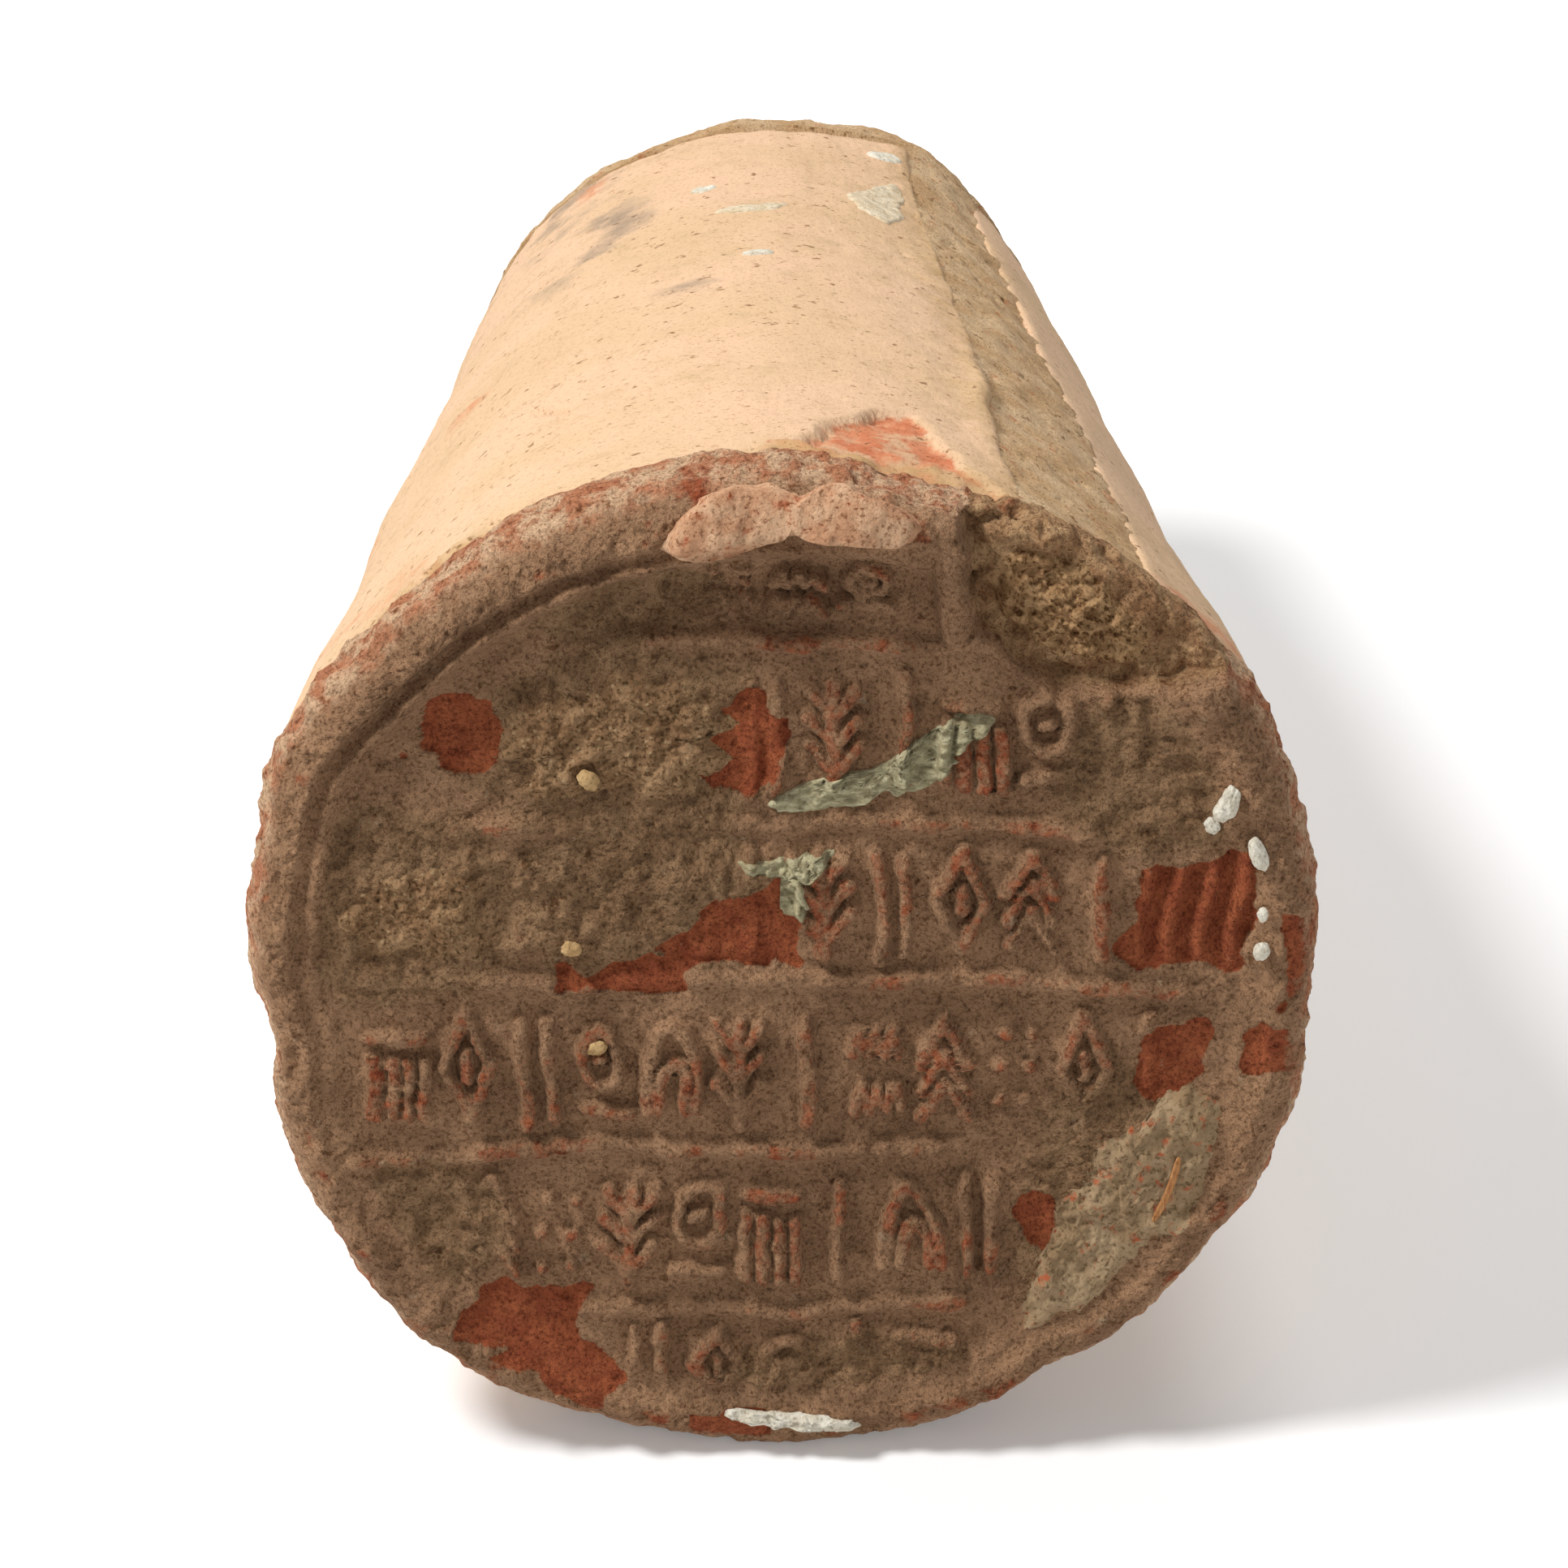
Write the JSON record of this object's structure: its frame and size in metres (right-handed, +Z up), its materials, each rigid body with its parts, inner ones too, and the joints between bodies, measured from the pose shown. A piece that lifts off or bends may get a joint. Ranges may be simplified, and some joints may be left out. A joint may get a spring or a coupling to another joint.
{
  "type": "funerary cone",
  "caption": "Tapering fired-clay cone lying on its side, with a stamped round face, a coarse core under a lapped outer coat, and old mud, plaster and lime on it.",
  "frame": {"origin": "on the resting surface, under the middle of the object's box", "axes": "+X to the right seen from the stamped face, +Y along the cone from the face to the tail, +Z up"},
  "size_m": [0.0862, 0.1442, 0.0859],
  "materials": {
    "core_clay": "coarse unglazed fired silt with straw voids and sand, matt, orange-brown",
    "coat_clay": "fine hand-smoothed fired clay, matt, cream to buff with pits and grey stains",
    "face_clay": "stamped fired clay, matt, brown with worn red high spots",
    "rim_clay": "coarse fired clay fold, matt, orange-red to buff",
    "mud": "dried sandy mud, matt, grey-brown",
    "residue": "dried pale greenish residue with a brushed, fibrous surface",
    "plaster": "old lime plaster, matt, off-white",
    "limestone": "limestone grit, matt, yellowish",
    "straw": "dry straw, light orange-brown",
    "lime": "thin lime film, matt, cream white"
  },
  "bodies": {
    "root": {"clay_core": "core_clay", "outer_coat": "coat_clay", "stamped_face": "face_clay", "folded_lip": "rim_clay", "mud_in_broken_corner": "mud", "mud_crust_upper": "mud", "mud_crust_left": "mud", "mud_smear_right": "mud", "residue_blade": "residue", "residue_tongue": "residue", "plaster_lump_1": "plaster", "plaster_lump_2": "plaster", "plaster_lump_3": "plaster", "plaster_lump_4": "plaster", "plaster_lump_5": "plaster", "plaster_band_bottom": "plaster", "limestone_grit_1": "limestone", "limestone_grit_2": "limestone", "limestone_grit_3": "limestone", "straw_sliver": "straw", "lime_patch_wide": "lime", "lime_patch_narrow": "lime", "lime_fleck_1": "lime", "lime_fleck_2": "lime", "lime_fleck_3": "lime"}
  },
  "joints": []
}
